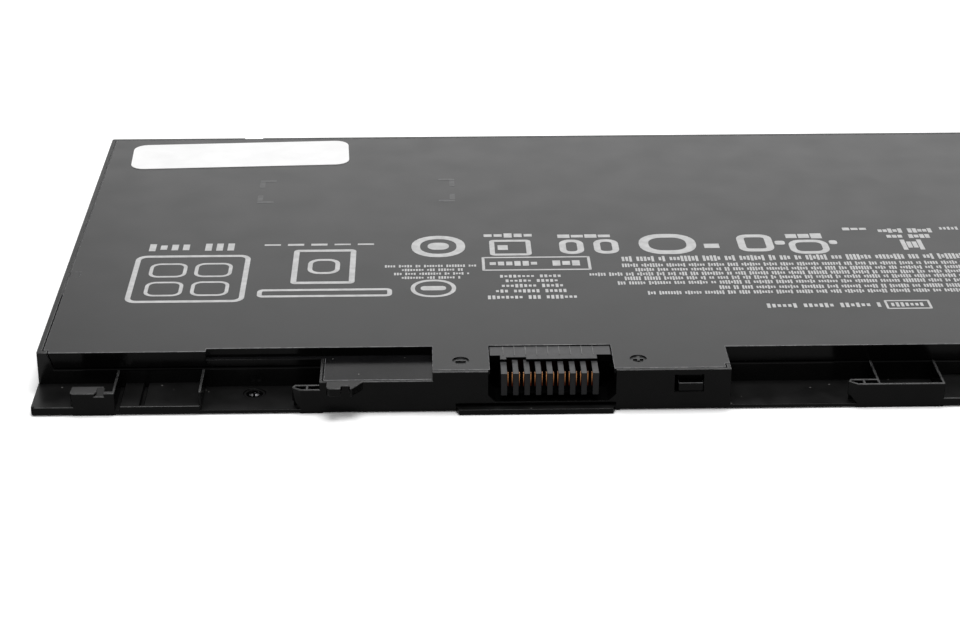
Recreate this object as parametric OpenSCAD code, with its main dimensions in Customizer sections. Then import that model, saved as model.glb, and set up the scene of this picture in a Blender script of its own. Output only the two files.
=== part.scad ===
// Thin notebook battery pack, label side up, connector edge at the front.
// Sizes are in millimetres. x runs along the width from the left end, y runs back from the main
// front face, z runs up from the underside. in_place() moves that corner to the pack's own origin.

/* [Overall] */
// Width of the pack
body_w = 270; // [262:1:290]
// Depth of the panel behind the main front face
body_d = 112.3; // [112:0.1:125]
// Overall thickness
body_t = 7.8; // [7.6:0.1:9]
// Reach of the front flange and tongue in front of the main front face
flange_d = 9.6; // [9.2:0.1:11]
// Radius of the vertical corners of the case
corner_r = 0.5; // [0.4:0.1:1.5]
// Bevel along the bottom edges
edge_bevel = 0.35; // [0.1:0.05:0.6]

/* [Shell] */
// Width of the case rim that shows round the cover
rim_w = 0.95; // [0.8:0.05:1.4]
// Thickness of the case floor
floor_t = 0.85; // [0.6:0.05:1.1]
// Width of the inner ledge that carries the cover
seat_w = 0.9; // [0.6:0.1:1.2]
// Width of the ledge that carries the cover's plateau and tongue
tongue_seat_w = 0.6; // [0.4:0.1:0.8]
// Thickness of the cover plate
cover_t = 1; // [0.8:0.05:1.2]
// Height of the cover's front skirt
skirt_h = 3; // [2.8:0.1:3.2]
// Thickness of the cover's skirt and of the case's front wall
skirt_t = 1; // [0.8:0.05:1.1]
// Width of the seam between case and cover
seam_w = 0.2; // [0.1:0.01:0.25]
// Depth of the seam groove in the front face
seam_depth = 0.5; // [0.3:0.05:0.6]
// Bevel of the case's front wall below the seam
wall_bevel = 0.25; // [0.1:0.05:0.4]
// Width of the case's corner post at the top
post_w = 1.86; // [1.5:0.02:2.4]
// How much wider the corner post is at the bottom of the skirt
post_flare = 1.1; // [0.5:0.1:2]

/* [Front flange] */
// Thickness of the raised floor at the two ends
raised_t = 1.7; // [1.4:0.1:2.4]
// Drop from the top face to the hooks and their ribs
feature_drop = 3.5; // [3.3:0.1:3.9]
// Thickness of the flange ribs
rib_t = 0.45; // [0.4:0.05:0.9]
// Centre of the rib beside the hook
hook_rib_x = 14.5; // [13.8:0.1:15.5]
// Width of the slot in the raised floor beside that rib
hook_slot_w = 0.8; // [0.4:0.1:1.2]
// Centre of the rib where the raised floor ends
step_rib_x = 29.6; // [27:0.1:31]
// How far the step rib stops short of the flange front
step_rib_set = 0.4; // [0.2:0.1:1]
// Left edge of the drain groove in the raised floor
groove_x = 19; // [17:0.1:24]
// Width of the drain groove
groove_w = 0.7; // [0.4:0.1:1.2]
// Land left in front of the drain groove
groove_land = 0.6; // [0.3:0.1:1.5]

/* [Hook] */
// Left edge of the hook block
hook_x = 7; // [5:0.1:8]
// Length of the hook block
hook_w = 4.6; // [4:0.1:5]
// Depth of the hook block
hook_d = 3; // [2.4:0.1:4]
// Corner bevel of the hook block
hook_bevel = 0.7; // [0.4:0.1:1.2]
// Thickness of the wall from the hook block to its rib
hook_wall_t = 1; // [0.6:0.1:1.4]
// Length of the slanted notch beside the hook block
hook_notch_w = 1.3; // [1:0.1:1.9]
// Depth of that notch at the front
hook_notch_h = 0.6; // [0.3:0.1:1.2]

/* [Beaks and bracket] */
// Drop from the top face to the beaks and the bracket
beak_drop = 3.2; // [3.2:0.1:3.6]
// Wall thickness of the beaks and the bracket
beak_wall = 0.45; // [0.35:0.05:0.6]
// Depth of a beak from front to back
beak_d = 2.25; // [2:0.05:3]
// Length of a beak's slanted nose
beak_nose = 1.5; // [1:0.1:2]
// Height of the cut under a beak's nose
beak_undercut = 1.1; // [0.8:0.1:1.8]
// Tip of the left beak
left_beak_x = 45.7; // [44:0.1:46.5]
// Divider of the left beak, from its tip
left_divider = 2.7; // [2.2:0.1:3.4]
// Tip of the right beak
right_beak_x = 143.7; // [140:0.1:146]
// Divider of the right beak, from its tip
right_divider = 2.8; // [2.2:0.1:3.6]
// Left rib of the bracket, from the right beak's tip
bracket_rib_1 = 5.4; // [4.8:0.1:6.5]
// Right rib of the bracket, from the right beak's tip
bracket_rib_2 = 16.75; // [14:0.05:20]

/* [Plateau and latch tab] */
// Left edge of the plateau
plateau_x = 50.6; // [49:0.1:51.5]
// Drop from the top face to the plateau and the ledge
plateau_drop = 1.7; // [1.4:0.1:1.9]
// Left end of the recess in the cover's front face
recess_x = 30.1; // [30:0.1:34]
// Depth of that recess
recess_d = 1.2; // [0.8:0.1:1.6]
// Wall of the case round the plateau
plateau_wall = 0.5; // [0.4:0.05:0.8]
// Left edge of the latch tab, from the plateau's left edge
tab_x = 1.3; // [1:0.1:3]
// Width of the latch tab at its root
tab_w = 6.3; // [5.8:0.1:8]
// Reach of the latch tab in front of the flange
tab_reach = 2.7; // [2:0.1:3.2]
// Thickness of the latch tab
tab_t = 1.6; // [1.2:0.1:2]
// Length of the latch tab's slanted right side
tab_slant = 1.9; // [1.2:0.1:2.2]
// Radius of the latch tab's left corner
tab_r = 1; // [0.6:0.1:1.4]
// Left edge of the notch in the latch tab, from the tab's left edge
tab_notch_x = 2.5; // [1.5:0.1:2.5]
// Width of the notch in the latch tab
tab_notch_w = 1.6; // [1:0.1:1.8]
// Depth of the notch in the latch tab
tab_notch_d = 1.2; // [0.6:0.1:1.6]

/* [Tongue] */
// Left side of the tongue
tongue_x = 70.4; // [69:0.1:72]
// Width of the tongue
tongue_w = 52.4; // [52:0.1:56]
// Thickness of the tongue's front wall
tongue_wall = 0.7; // [0.55:0.05:0.9]
// Length of the front wall's return along the tongue's right side
tongue_return = 2.3; // [1.5:0.1:3]
// Wall of the tongue to the right of the snap window
window_end = 4.8; // [3:0.1:6]
// Width of the snap window
window_w = 5.1; // [4.8:0.1:5.6]
// Height of the snap window
window_h = 3.3; // [2.8:0.1:3.6]
// Drop from the top face to the snap window
window_drop = 1; // [1:0.05:1.3]
// Width of the cover's snap
snap_w = 4.3; // [3:0.1:4.5]
// Height of the snap's nose
snap_h = 1.6; // [1:0.1:1.8]
// Thickness of the snap's arm
snap_arm_t = 0.7; // [0.5:0.1:1]
// How far the snap's arm stands behind the wall with the window
snap_set = 0.8; // [0:0.1:1]
// Running clearance of the snap in its window
snap_gap = 0.1; // [0.05:0.01:0.15]

/* [Connector bay] */
// Left edge of the bay, from the tongue's left side
bay_x = 9.75; // [9:0.05:11]
// Width of the bay
bay_w = 22.45; // [22.2:0.05:24]
// Depth of the bay's opening below the top face
bay_drop = 5.9; // [5.6:0.1:6.2]
// Bevel of the bay's lower corners
bay_bevel = 1.3; // [0.8:0.1:1.6]
// Thickness of the bay's side walls
bay_wall = 0.8; // [0.6:0.1:1.2]
// Length of the bay's side walls behind the front face
bay_wall_d = 5.8; // [4:0.1:6]
// How much narrower the cover's cut-out is on each side
bay_step = 0.3; // [0.2:0.05:0.4]
// How far the cover's cut-out reaches behind the main front face
bay_back = 1.3; // [1.2:0.05:1.6]
// Left end of the lip below the bay, from the bay's left edge
lip_start = 5.65; // [4:0.05:6.5]
// Reach of the lip in front of the flange
lip_reach = 1.4; // [0.6:0.05:1.6]
// Height of the lip
lip_h = 1.05; // [0.8:0.05:1.1]
// Slant of the lip's ends
lip_slant = 0.5; // [0.2:0.1:2]
// Height of the recess above the lip
lip_recess_h = 0.5; // [0.3:0.05:0.5]
// Depth of the recess above the lip
lip_recess_d = 0.5; // [0.3:0.05:0.6]

/* [Connector] */
// Number of contacts
contact_count = 8; // [8:1:8]
// Spacing of the contacts
contact_pitch = 2; // [1.95:0.05:2]
// Thickness of the comb's ribs
comb_rib_t = 1; // [0.9:0.05:1.1]
// Extra thickness of the two outer ribs
comb_end_extra = 0.1; // [0:0.05:0.3]
// First rib's centre, from the bay's left edge
comb_start = 2.85; // [2.6:0.05:3.2]
// Depth of the comb's ribs from front to back
comb_d = 5; // [4.6:0.1:5.4]
// How much further back the top plate starts beside the comb
plate_step = 1.6; // [1:0.1:2]
// How much further back the first slots start
slot_step = 0.8; // [0:0.1:1]
// Number of those longer slots
long_slots = 2; // [0:1:4]
// How far the ribs stop behind the tongue's front face
comb_set = 0.4; // [0.2:0.1:1]
// Drop from the top face to the ribs
comb_drop = 0.7; // [0.6:0.05:0.9]
// Height of the ribs at their front
comb_h = 4.2; // [4:0.1:4.4]
// Thickness of the comb's base plate
comb_base_t = 0.5; // [0.4:0.05:0.7]
// How far the base plate stops behind the rib fronts
comb_base_set = 0.7; // [0.5:0.1:2]
// Thickness of the housing's top plate beside the comb
plate_t = 1.4; // [0.8:0.1:2]
// Thickness of the housing's rear wall
rear_wall = 0.8; // [0.6:0.1:1]
// Drop from the top face to the housing's top plate
plate_drop = 0.2; // [0.1:0.05:0.3]
// Clearance round the housing's top plate
plate_gap = 0.15; // [0.1:0.05:0.25]
// Height of the fine ridges on the top plate
ridge_h = 0.08; // [0.05:0.01:0.15]
// Width of the fine ridges on the top plate
ridge_w = 0.2; // [0.1:0.05:0.4]
// How far the slots run on under the top plate
slot_under = 1.2; // [0.8:0.1:1.6]
// Thickness of the contacts' metal
contact_t = 0.2; // [0.15:0.01:0.25]
// Height of the contacts' tines
tine_h = 2.5; // [1.8:0.1:2.8]
// Depth of a tine's raised tip
tine_tip_d = 0.6; // [0.4:0.1:1.2]
// Height of the arm that carries the tip
tine_arm_h = 0.6; // [0.4:0.1:1]
// Clearance of the contacts in the housing
contact_gap = 0.03; // [0.02:0.01:0.05]
// How far the tines stop behind the rib fronts
tine_set = 0.3; // [0.1:0.1:0.8]
// Width of a contact's solder tail
tail_w = 0.6; // [0.4:0.05:0.7]
// Length of a solder tail on the board
tail_len = 1.8; // [1.2:0.1:2.4]

/* [Pry slots] */
// Near end of the slot beside the left rim, behind the main front face
pry_y = 34.4; // [20:0.1:60]
// Length of the slot along the rim
pry_len = 2.4; // [1:0.1:4]
// Reach of the slot into the cover
pry_w = 2.1; // [1:0.1:3]
// Depth of the slot
pry_depth = 0.35; // [0.1:0.05:0.5]
// Left end of the notch in the back rim
back_notch_x = 29.5; // [20:0.1:40]
// Length of the notch in the back rim
back_notch_len = 3.9; // [2:0.1:6]

/* [Screws] */
// Distance of each screw from its end of the pack
screw_x = 38.7; // [37:0.1:42]
// Distance of the screws in front of the main front face
screw_y = 2.9; // [2.7:0.1:5]
// Diameter of the screw head
screw_head_d = 2.9; // [2.4:0.1:3.2]
// Diameter of the screw's shank
screw_d = 1.6; // [1.4:0.1:2]
// Height of the countersunk head
screw_head_h = 0.45; // [0.3:0.05:0.45]
// Clearance round the screw
screw_gap = 0.06; // [0.04:0.01:0.1]
// Diameter of the dished pocket round the head
screw_pocket_d = 3.8; // [3.6:0.1:4.4]
// Depth of the dished pocket round the head
screw_pocket_h = 0.15; // [0.05:0.05:0.2]

/* [Cells] */
// Room between the case's side ledge and the rib beside the first and last cell
cell_side_gap = 1.95; // [0.5:0.05:4]
// Room between the cells and the case's back ledge
cell_back_gap = 0.6; // [0.3:0.1:9]
// Thickness of a cell
cell_t = 5; // [4.4:0.1:5]
// Radius of the pouch's long edges
cell_r = 1.2; // [0.6:0.1:1.8]
// Depth of the sealed strip at the cell's front
terrace_d = 4; // [3:0.1:4]
// Thickness of the sealed strip
terrace_t = 0.8; // [0.4:0.1:1]
// Thickness of the low rib between two cells
divider_t = 0.8; // [0.6:0.1:1]
// Height of the low rib between two cells
divider_h = 1.2; // [0.8:0.1:2.4]
// Clearance beside each cell
cell_gap = 0.2; // [0.1:0.05:0.4]
// Gap between the cells' sealed strips and the board
cell_board_gap = 0.65; // [0.3:0.05:0.7]
// Thickness of the tape under each cell
tape_t = 0.15; // [0.1:0.01:0.2]
// Margin of tape and foam inside a cell's outline
pad_margin = 6; // [3:0.5:12]
// Clearance between the foam and the cover
foam_gap = 0.05; // [0.02:0.01:0.1]
// Width of a cell's metal tab
tab_metal_w = 5; // [3:0.5:7]
// Thickness of a cell's metal tab
tab_metal_t = 0.15; // [0.1:0.01:0.2]
// Length of a cell's metal tab
tab_metal_len = 4.4; // [3.5:0.1:4.6]
// Distance of each tab from the middle of its cell
tab_metal_x = 18; // [12:0.5:24]
// Width of the nickel strips
strip_w = 3; // [2:0.1:3.2]
// Thickness of the nickel strips
strip_t = 0.15; // [0.1:0.01:0.2]

/* [Protection board] */
// Reach of the board past the inner tabs of the first and the last cell
board_reach = 4.4; // [3.4:0.1:5.4]
// Depth of the board
board_d = 9.5; // [9:0.1:9.8]
// Thickness of the board
board_t = 0.8; // [0.6:0.1:1]
// Gap between the board and the front wall
board_front_gap = 0.7; // [0.5:0.1:0.8]
// Height of the board's underside above the case floor
board_lift = 2.15; // [1.8:0.05:2.3]
// Diameter of the bosses that carry the board
boss_d = 3; // [2.6:0.1:4]
// Diameter of the locating pins on the bosses
pin_d = 1.4; // [1.2:0.1:1.6]
// Height of the locating pins above the board
pin_stand = 0.4; // [0.2:0.1:0.6]
// Radial clearance of the board on its pins
pin_gap = 0.1; // [0.05:0.01:0.15]
// Distance of the bosses behind the board's front edge
boss_y = 3.5; // [2.6:0.1:3.8]
// Height of the tallest parts on the board
switch_h = 1.4; // [1:0.1:1.5]
// Thickness of the insulating sheet
sheet_t = 0.15; // [0.1:0.01:0.25]
// Diameter of the thermistor
thermistor_d = 1.4; // [1:0.1:1.6]
// Diameter of the thermistor's leads
lead_d = 0.4; // [0.3:0.05:0.6]

/* [Sticker] */
// Length of the blank sticker
sticker_w = 47; // [30:1:60]
// Width of the blank sticker
sticker_d = 15; // [8:0.5:20]
// Corner radius of the sticker
sticker_r = 3; // [1:0.5:5]
// Thickness of the sticker
sticker_t = 0.1; // [0.06:0.01:0.15]
// Sticker's middle, from the left end
sticker_x = 29.3; // [28:0.1:60]
// Sticker's middle, in front of the back edge
sticker_back = 11; // [11:0.1:50]
// Turn of the sticker
sticker_turn = 2.5; // [0:0.5:5]

/* [Hidden] */
$fn = 48;
cell_count = 4;
arc_steps = 5;
// Overcut that keeps cutting faces off the faces they cut
over = 1;

// Levels, measured from the underside
seat_z = body_t - cover_t;
skirt_z = body_t - skirt_h;
feature_z = body_t - feature_drop;
beak_z = body_t - beak_drop;
seam_z = skirt_z - seam_w;
ledge_z = body_t - plateau_drop;
plateau_seat_z = ledge_z - cover_t;
bay_z = body_t - bay_drop;
comb_top = body_t - comb_drop;
comb_bottom = comb_top - comb_h;
plate_z = body_t - plate_drop;
board_z = floor_t + board_lift;
board_top = board_z + board_t;
cell_z = floor_t + tape_t;
cell_top = cell_z + cell_t;
tab_z = board_top + strip_t;

// Slants and steps of the hook block and of a beak's nose
hook_side = 0.4;
hook_fin_w = 1.1;
hook_fin_t = 0.5;
nose_tip_d = 1.25;

// Lines across the pack
front_y = -flange_d;
mid_y = (body_d - flange_d - tab_reach) / 2;
inner_edge = rim_w + seat_w;
tongue_end = tongue_x + tongue_w;
bay_left = tongue_x + bay_x;
bay_right = bay_left + bay_w;
right_beak_end = right_beak_x + bracket_rib_1;
bracket_end = right_beak_x + bracket_rib_2;
comb_front = front_y + comb_set;
comb_back = comb_front + comb_d;
comb_x = bay_left + comb_start;
slot_back = comb_back + slot_under;
housing_back = bay_back - plate_gap;
lip_x = bay_left - lip_start;
board_y = skirt_t + board_front_gap;
board_back = board_y + board_d;
terrace_y = board_back + cell_board_gap;
cell_y = terrace_y + terrace_d;
cell_back = body_d - inner_edge - cell_back_gap;
cell_pitch = (body_w - 2 * (inner_edge + cell_side_gap) - divider_t) / cell_count;
cell_w = cell_pitch - divider_t - 2 * cell_gap;
board_x = cell_x(0) + tab_metal_x - tab_metal_w / 2 - board_reach;
board_end = body_w - board_x;
tab_y = terrace_y - tab_metal_len;
strip_set = 0.3;
strip_y = board_back - strip_w - strip_set;

// Bosses under the board: one at each end, one each side of the bay, one beside the switches
boss_gap = 6;
boss_xs = [board_x + boss_d, bay_left - boss_gap, bay_right + boss_gap, board_end - 34, board_end - boss_d];
head_z = floor_t - screw_pocket_h - screw_head_h;
strip_space = 1.4;
sheet_margin = 2;
sheet_gap = 0.4;

// Parts on the board, each size as [length, depth, height]: the gauge and its capacitors beside
// the bay, the power parts at the board's right end
gauge_x = bay_right + boss_gap + 6;
gauge_size = [6.4, 5.2, 1];
gauge_legs = 8;
capacitor_x = gauge_x + 5;
capacitor_size = [0.8, 1.6, 0.8];
capacitor_space = 1.8;
capacitor_count = 5;
switch_x = board_end - 50;
switch_size = [5, 5.2, switch_h];
switch_legs = 4;
switch_space = 10;
fuse_x = board_end - 26;
fuse_size = [6, 3.2, 1.2];
resistor_x = board_end - 16;
resistor_size = [6.3, 3.2, 0.6];
chip_y = board_y + 3;
leg_len = 0.7;
leg_w = 0.35;
leg_t = 0.15;
thermistor_x = cell_x(1);
thermistor_len = 3;
thermistor_y = terrace_y - thermistor_len / 3;
thermistor_z = tab_z + tab_metal_t / 2 + terrace_t / 2 + thermistor_d / 2;

case_color = "#232324";
cover_color = "#2b2b2c";
housing_color = "#3a3a3b";
copper_color = "#b8693a";
steel_color = "#b9bbbe";
nickel_color = "#c4c2bb";
pouch_color = "#c9ccd0";
board_color = "#1f5a3c";
chip_color = "#1b1b1d";
tape_color = "#e8e6dc";
foam_color = "#3b3b3b";
sheet_color = "#d8c9a0";
capacitor_color = "#a98c6a";
resistor_color = "#4a4a4c";
fuse_color = "#c9b089";

function cell_x(i) = body_w / 2 + (i - (cell_count - 1) / 2) * cell_pitch;
function slot_x(i) = comb_x + (i + 0.5) * contact_pitch;
function arc(cx, cy, r, from, to) =
    [for (i = [0:arc_steps]) let (a = from + (to - from) * i / arc_steps)
        [cx + r * cos(a), cy + r * sin(a)]];
function round_rect(x0, y0, x1, y1, r) = concat(
    arc(x0 + r, y0 + r, r, 180, 270), arc(x1 - r, y0 + r, r, 270, 360),
    arc(x1 - r, y1 - r, r, 0, 90), arc(x0 + r, y1 - r, r, 90, 180));

module in_place() {
    translate([-body_w / 2, -mid_y, 0]) children();
}

// Box between two opposite corners
module block(low, high) {
    translate(low) cube(high - low);
}

// Outline drawn in x and z, drawn out along y from near to far
module along_y(near, far) {
    translate([0, far, 0]) rotate([90, 0, 0]) linear_extrude(far - near) children();
}

// Outline drawn in y and z, drawn out along x
module along_x(left, right) {
    translate([left, 0, 0]) rotate([90, 0, 90]) linear_extrude(right - left) children();
}

module at_both_ends() {
    children();
    translate([body_w, 0, 0]) mirror([1, 0, 0]) children();
}

// Space between the corner posts, whose inner sides slant above the skirt's lower edge
module between_posts(low_z, top_z, near, far, gap) {
    low = post_w + post_flare + gap;
    high = low - post_flare * (top_z - skirt_z) / skirt_h;
    along_y(near, far) polygon([
        [low, low_z], [low, skirt_z], [high, top_z],
        [body_w - high, top_z], [body_w - low, skirt_z], [body_w - low, low_z]]);
}

module case_tray() {
    difference() {
        union() {
            linear_extrude(body_t) polygon(round_rect(0, 0, body_w, body_d, corner_r));
            linear_extrude(floor_t) polygon(round_rect(0, front_y, body_w, body_d, corner_r));
        }
        block([inner_edge, skirt_t, floor_t], [body_w - inner_edge, body_d - inner_edge, body_t + over]);
        block([rim_w, skirt_t, seat_z], [body_w - rim_w, body_d - rim_w, body_t + over]);
        between_posts(skirt_z, body_t + over, -over, skirt_t + over, 0);
        between_posts(seam_z, body_t + over, -over, seam_depth, 0);
        along_x(post_w + post_flare, body_w - post_w - post_flare) polygon([
            [-over, seam_z - wall_bevel - over], [wall_bevel + seam_w, seam_z + seam_w],
            [-over, seam_z + seam_w]]);
    }
}

module raised_floors() {
    block([0, front_y + corner_r, 0], [step_rib_x, skirt_t / 2, raised_t]);
    block([corner_r, front_y, 0], [step_rib_x, 0, raised_t]);
    block([bracket_end, front_y + corner_r, 0], [body_w, skirt_t / 2, raised_t]);
    block([bracket_end, front_y, 0], [body_w - corner_r, 0, raised_t]);
}

module tongue_box() {
    block([plateau_x, front_y, 0], [tongue_x, 0, ledge_z]);
    block([tongue_x, front_y, 0], [tongue_end, 0, body_t]);
}

// Room inside the plateau and the tongue, with the ledges that carry the cover there
module tongue_room() {
    plateau_in = plateau_wall + tongue_seat_w;
    tongue_in = tongue_wall + tongue_seat_w;
    top = body_t + over;
    back = skirt_t + over;
    block([plateau_x + plateau_in, front_y + plateau_in, floor_t], [tongue_x + over, back, top]);
    block([tongue_x, front_y + tongue_in, floor_t], [tongue_end - tongue_wall, back, top]);
    block([plateau_x + plateau_wall, front_y + plateau_wall, plateau_seat_z], [tongue_x, back, top]);
    block([tongue_x, front_y + tongue_wall, seat_z], [tongue_end - tongue_wall, back, top]);
    block([tongue_x - over, front_y + tongue_wall, plateau_seat_z],
        [tongue_x + tongue_wall + seam_w, back, top]);
    block([tongue_end - tongue_wall - over, front_y + tongue_return, skirt_z], [tongue_end + over, 0, top]);
    block([tongue_end - tongue_wall / 2, front_y + tongue_return, skirt_z - seam_w],
        [tongue_end + over, 0, top]);
}

module bay_block() {
    block([bay_left - bay_wall, front_y, 0], [bay_right + bay_wall, front_y + bay_wall_d, seat_z]);
}

module bay_opening() {
    along_y(front_y - over, front_y + bay_wall_d + over) polygon([
        [bay_left, body_t + over], [bay_left, bay_z + bay_bevel], [bay_left + bay_bevel, bay_z],
        [bay_right - bay_bevel, bay_z], [bay_right, bay_z + bay_bevel], [bay_right, body_t + over]]);
}

module bay_lip() {
    linear_extrude(lip_h) polygon([
        [lip_x, front_y + tongue_wall], [lip_x, front_y], [lip_x + lip_slant, front_y - lip_reach],
        [bay_right - lip_slant, front_y - lip_reach], [bay_right, front_y],
        [bay_right, front_y + tongue_wall]]);
}

module lip_recess() {
    block([lip_x, front_y - lip_reach - over, lip_h],
        [bay_right, front_y + lip_recess_d, lip_h + lip_recess_h]);
}

module snap_window() {
    x0 = tongue_end - window_end - window_w;
    z0 = body_t - window_drop - window_h;
    wall_y = front_y + tongue_wall;
    block([x0, front_y - over, z0], [x0 + window_w, wall_y + over, z0 + window_h]);
    block([x0, wall_y, z0], [x0 + window_w, wall_y + tongue_seat_w + over, body_t]);
}

module latch_tab() {
    x0 = plateau_x + tab_x;
    x1 = x0 + tab_w;
    tip = front_y - tab_reach;
    notch = x0 + tab_notch_x;
    notch_r = tab_notch_w / 4;
    translate([0, 0, ledge_z - tab_t]) linear_extrude(tab_t) difference() {
        polygon(concat([[x0, front_y + plateau_wall]], arc(x0 + tab_r, tip + tab_r, tab_r, 180, 270),
            [[x1 - tab_slant, tip], [x1, front_y], [x1, front_y + plateau_wall]]));
        polygon(concat([[notch, tip - over]],
            arc(notch + notch_r, tip + tab_notch_d - notch_r, notch_r, 180, 90),
            arc(notch + tab_notch_w - notch_r, tip + tab_notch_d - notch_r, notch_r, 90, 0),
            [[notch + tab_notch_w, tip - over]]));
    }
}

// Hook block with its notched wall and rib, and the rib where the floor steps, at the left end
module flange_end() {
    hook_end = hook_x + hook_w;
    notch_end = hook_end + hook_notch_w;
    fin_y = front_y + hook_d - hook_fin_t;
    fin_end = hook_end + hook_fin_w;
    wall_y = front_y + hook_wall_t;
    rib_end = hook_rib_x + rib_t / 2;
    linear_extrude(feature_z) polygon([
        [hook_x, front_y + hook_bevel], [hook_x + hook_side, front_y], [hook_end - hook_side, front_y],
        [hook_end, front_y + hook_bevel], [hook_end, fin_y], [fin_end, fin_y],
        [fin_end, front_y + hook_d], [hook_x, front_y + hook_d]]);
    along_x(hook_end - hook_w / 2, notch_end) polygon([
        [front_y, 0], [fin_y, 0], [fin_y, feature_z], [front_y, feature_z - hook_notch_h]]);
    block([notch_end, front_y, 0], [rib_end, wall_y, feature_z]);
    block([hook_rib_x - rib_t / 2, front_y, 0], [rib_end, skirt_t / 2, feature_z]);
    block([step_rib_x - rib_t / 2, front_y + step_rib_set, 0],
        [step_rib_x + rib_t / 2, skirt_t / 2, feature_z]);
}

// Slot beside the hook's rib and the drain groove, both cut down to the case floor
module raised_floor_cuts() {
    rib_end = hook_rib_x + rib_t / 2;
    block([rib_end, front_y - over, floor_t], [rib_end + hook_slot_w, 0, raised_t + over]);
    block([groove_x, front_y + groove_land, floor_t], [groove_x + groove_w, 0, raised_t + over]);
}

// Thin-walled nose with two pockets, from its tip to where it joins the next wall. Its inner
// outline is set in from the outer one by about the wall.
module beak(tip, end, divider) {
    w = beak_wall;
    rear = front_y + beak_d;
    nose = tip + beak_nose;
    tip_y = front_y + nose_tip_d;
    nose_in = w / 3;
    tip_in = w * 1.2;
    heel_in = w * 1.7;
    difference() {
        linear_extrude(beak_z) polygon([
            [end, front_y], [nose, front_y], [tip, tip_y], [tip + w, rear], [end, rear]]);
        difference() {
            translate([0, 0, floor_t]) linear_extrude(body_t) polygon([
                [end - w / 2, front_y + w], [nose + nose_in, front_y + w], [tip + tip_in, tip_y],
                [tip + heel_in, rear - w], [end - w / 2, rear - w]]);
            block([tip + divider - w / 2, front_y, 0], [tip + divider + w / 2, rear, body_t + over]);
        }
        along_y(front_y - over, tip_y + w) polygon([
            [tip - over, floor_t], [nose, floor_t], [tip + w, floor_t + beak_undercut],
            [tip - over, floor_t + beak_undercut]]);
    }
}

module bracket() {
    half = beak_wall / 2;
    for (x = [right_beak_end, bracket_end])
        block([x - half, front_y, 0], [x + half, skirt_t / 2, beak_z]);
    block([right_beak_end, front_y, 0], [bracket_end + half, front_y + beak_wall, beak_z]);
}

module board_bosses() {
    for (x = boss_xs) translate([x, board_y + boss_y, 0]) {
        cylinder(d = boss_d, h = board_z);
        cylinder(d = pin_d, h = board_top + pin_stand);
    }
}

module cell_dividers() {
    for (i = [0:cell_count]) {
        x = cell_x(i) - cell_pitch / 2;
        block([x - divider_t / 2, cell_y, 0], [x + divider_t / 2, cell_back, floor_t + divider_h]);
    }
}

module bottom_bevels() {
    b = edge_bevel;
    corner = [[-over, -over], [b, -over], [b, 0], [0, b], [-over, b]];
    translate([0, front_y, 0]) along_x(-over, body_w + over) polygon(corner);
    translate([0, body_d, 0]) mirror([0, 1, 0]) along_x(-over, body_w + over) polygon(corner);
    at_both_ends() along_y(front_y - over, body_d + over) polygon(corner);
}

// Countersunk bore with a dished pocket, open upwards
module screw_bore() {
    translate([screw_x, -screw_y, 0]) {
        translate([0, 0, -over]) cylinder(d = screw_d + 2 * screw_gap, h = floor_t + over);
        translate([0, 0, head_z])
            cylinder(d1 = screw_d + 2 * screw_gap, d2 = screw_head_d + 2 * screw_gap, h = screw_head_h);
        translate([0, 0, head_z + screw_head_h]) cylinder(d = screw_pocket_d, h = body_t);
    }
}

module captive_screw(x) {
    color(steel_color) in_place() translate([x, -screw_y, 0]) {
        translate([0, 0, screw_gap]) cylinder(d = screw_d, h = head_z + screw_head_h - screw_gap);
        translate([0, 0, head_z]) cylinder(d1 = screw_d, d2 = screw_head_d, h = screw_head_h);
    }
}

module back_notch() {
    block([back_notch_x, body_d - rim_w / 2, body_t - pry_depth],
        [back_notch_x + back_notch_len, body_d + over, body_t + over]);
}

module bottom_case() {
    color(case_color) in_place() difference() {
        union() {
            difference() {
                union() {
                    case_tray();
                    raised_floors();
                    tongue_box();
                }
                tongue_room();
                bottom_bevels();
            }
            bay_block();
            bay_lip();
            latch_tab();
            at_both_ends() flange_end();
            beak(left_beak_x, plateau_x + plateau_wall, left_divider);
            beak(right_beak_x, right_beak_end, right_divider);
            bracket();
            board_bosses();
            cell_dividers();
        }
        bay_opening();
        lip_recess();
        snap_window();
        at_both_ends() raised_floor_cuts();
        at_both_ends() screw_bore();
        back_notch();
    }
}

// Main plate, skirts, the recess with its ledge, the plateau and the tongue
module cover_shell() {
    gap = seam_w;
    back = skirt_t + gap;
    tongue_front = front_y + tongue_wall + gap;
    difference() {
        union() {
            block([rim_w + gap, back, seat_z], [body_w - rim_w - gap, body_d - rim_w - gap, body_t]);
            between_posts(skirt_z, body_t, 0, back, gap);
            block([recess_x - skirt_t, 0, plateau_seat_z],
                [tongue_x + tongue_wall, recess_d + skirt_t, body_t]);
            block([tongue_x, tongue_front, seat_z], [tongue_end - tongue_wall - gap, back, body_t]);
        }
        block([plateau_x + plateau_wall + gap, -over, skirt_z - over],
            [tongue_x, back + over, plateau_seat_z]);
        block([tongue_x, -over, skirt_z - over], [tongue_end - tongue_wall, back + over, seat_z]);
        block([recess_x, -over, ledge_z], [tongue_x, recess_d, body_t + over]);
    }
    block([plateau_x + plateau_wall + gap, front_y + plateau_wall + gap, plateau_seat_z],
        [tongue_x, recess_d, ledge_z]);
    block([tongue_x, tongue_front, plateau_seat_z], [tongue_x + tongue_wall, recess_d + skirt_t, body_t]);
    block([tongue_end - tongue_wall - 2 * gap, front_y + tongue_return + gap, skirt_z],
        [tongue_end, back, body_t]);
}

module cover_snap() {
    right = tongue_end - window_end - snap_gap;
    z0 = body_t - window_drop - window_h + snap_gap;
    arm_y = front_y + tongue_wall + seam_w + snap_set;
    block([right - snap_w, arm_y, z0], [right, arm_y + snap_arm_t, body_t]);
    block([right - snap_w, front_y + snap_gap, z0], [right, arm_y + snap_arm_t, z0 + snap_h]);
}

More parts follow.
